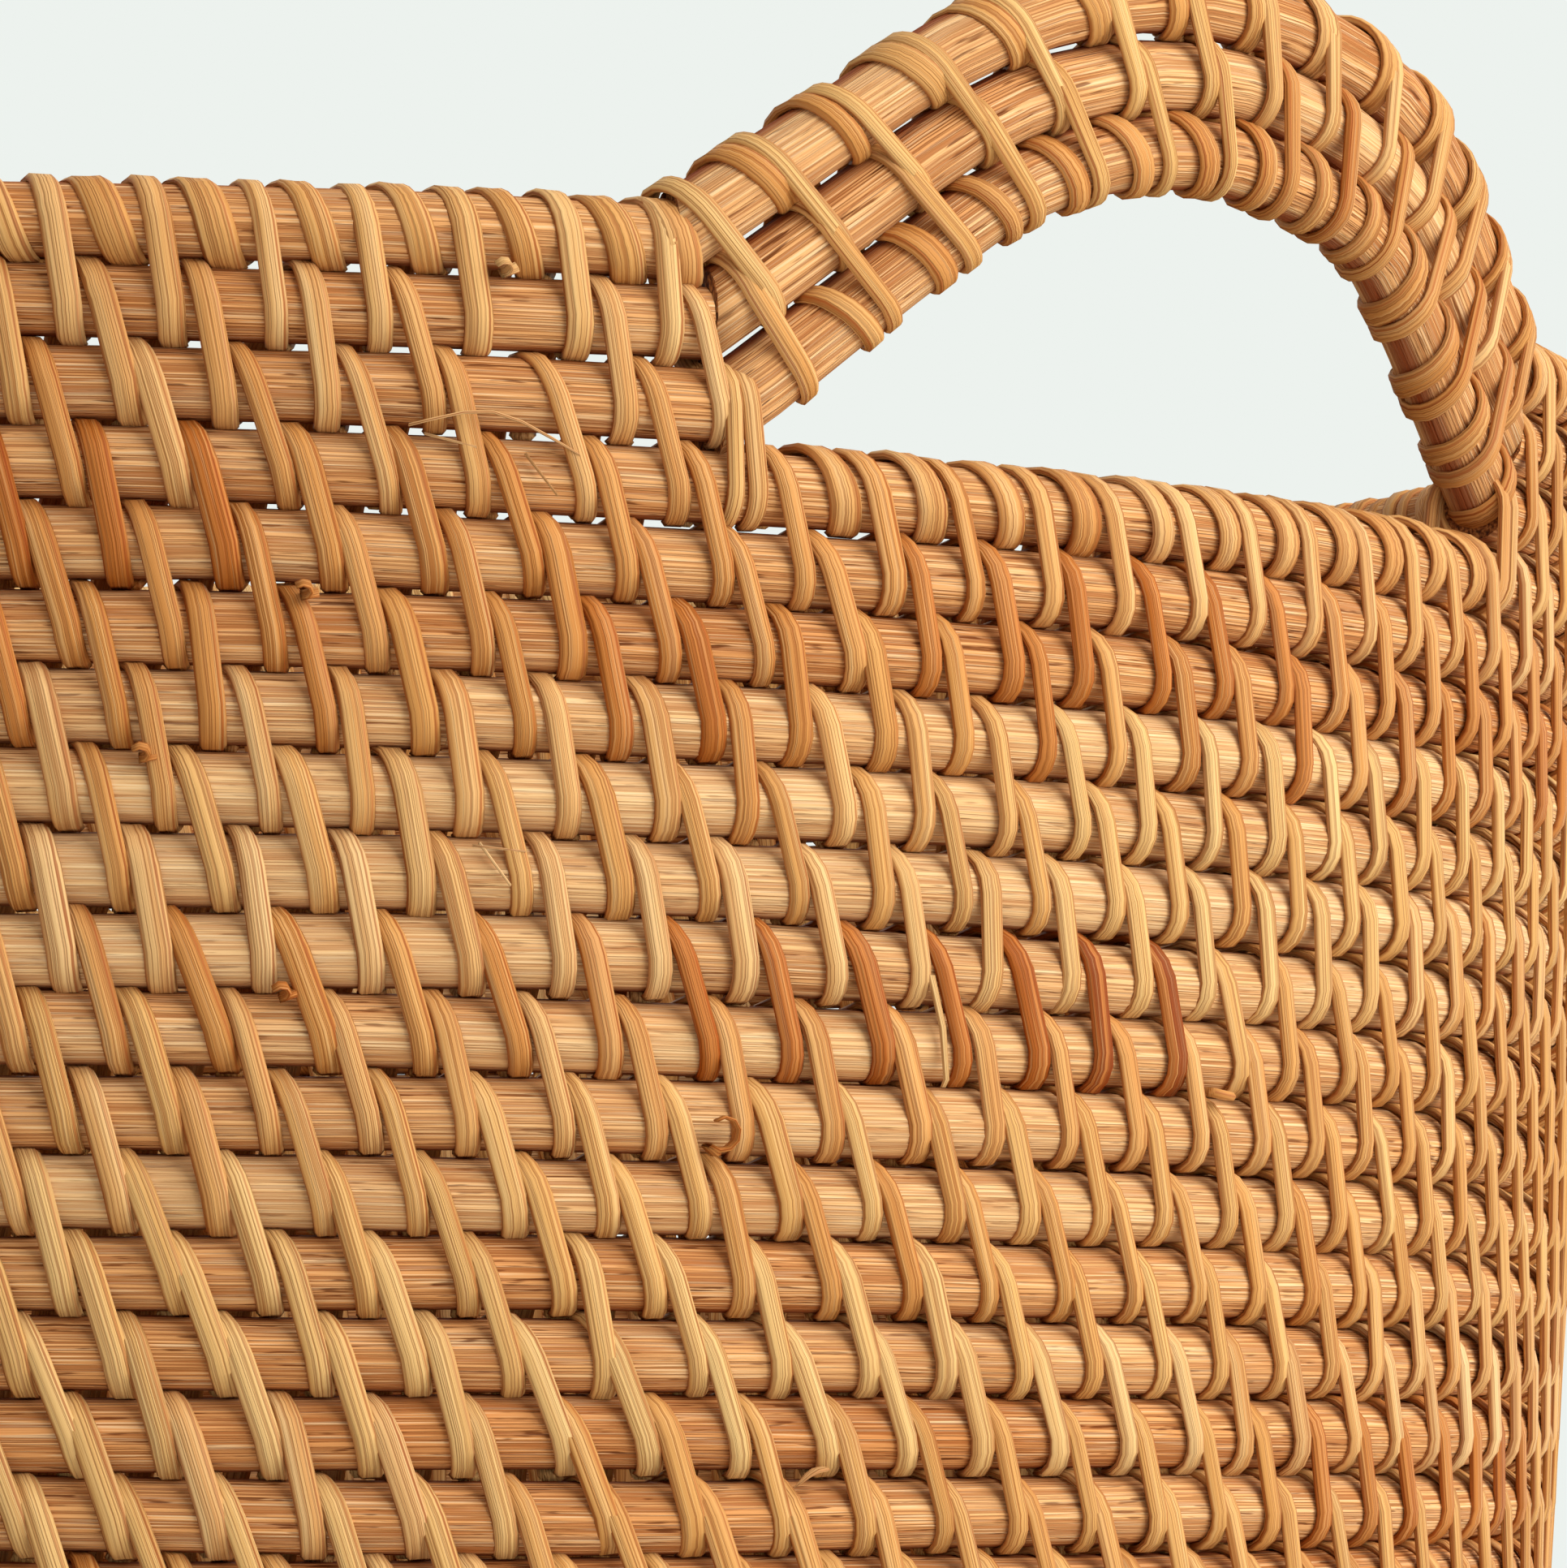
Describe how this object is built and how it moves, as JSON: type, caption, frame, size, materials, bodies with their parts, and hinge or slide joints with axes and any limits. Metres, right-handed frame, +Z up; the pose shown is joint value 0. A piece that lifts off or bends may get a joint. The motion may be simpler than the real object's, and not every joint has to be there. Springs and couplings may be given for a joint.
{
  "type": "laundry basket",
  "caption": "Round open laundry basket of coiled rattan rods lashed with flat cane, tapering slightly to a coiled base, with two arched carrying handles.",
  "frame": {"origin": "centre of the underside, on the surface that the basket stands on", "axes": "+Z up; the two handles lie on the X axis"},
  "size_m": [0.4524, 0.4472, 0.3319],
  "materials": {
    "rattan_rod": "natural satin",
    "split_cane": "natural semi-gloss"
  },
  "bodies": {
    "root": {"rim_rod_1_front": "rattan_rod", "rim_rod_1_back": "rattan_rod", "rim_rod_2_front": "rattan_rod", "rim_rod_2_back": "rattan_rod", "rim_rod_3_front": "rattan_rod", "rim_rod_3_back": "rattan_rod", "wall_hoop_4": "rattan_rod", "wall_hoop_5": "rattan_rod", "wall_hoop_6": "rattan_rod", "wall_hoop_7": "rattan_rod", "wall_hoop_8": "rattan_rod", "wall_hoop_9": "rattan_rod", "wall_hoop_10": "rattan_rod", "wall_hoop_11": "rattan_rod", "wall_hoop_12": "rattan_rod", "wall_hoop_13": "rattan_rod", "wall_hoop_14": "rattan_rod", "wall_hoop_15": "rattan_rod", "wall_hoop_16": "rattan_rod", "wall_hoop_17": "rattan_rod", "wall_hoop_18": "rattan_rod", "wall_hoop_19": "rattan_rod", "wall_hoop_20": "rattan_rod", "wall_hoop_21": "rattan_rod", "wall_hoop_22": "rattan_rod", "wall_hoop_23": "rattan_rod", "wall_hoop_24": "rattan_rod", "wall_hoop_25": "rattan_rod", "wall_hoop_26": "rattan_rod", "wall_hoop_27": "rattan_rod", "wall_hoop_28": "rattan_rod", "wall_hoop_29": "rattan_rod", "wall_hoop_30": "rattan_rod", "handle_right_outer": "rattan_rod", "handle_right_middle": "rattan_rod", "handle_right_inner": "rattan_rod", "handle_left_outer": "rattan_rod", "handle_left_middle": "rattan_rod", "handle_left_inner": "rattan_rod", "foot_hoop": "rattan_rod", "base_coil": "rattan_rod", "handle_right_lashing": "split_cane", "handle_right_binding": "split_cane", "handle_left_lashing": "split_cane", "handle_left_binding": "split_cane", "rim_binding": "split_cane", "hand_hole_binding": "split_cane", "rim_lashing": "split_cane", "wall_lashing_upper": "split_cane", "wall_lashing_middle": "split_cane", "wall_lashing_lower": "split_cane", "base_lashing": "split_cane", "base_edge_lashing": "split_cane"}
  },
  "joints": []
}
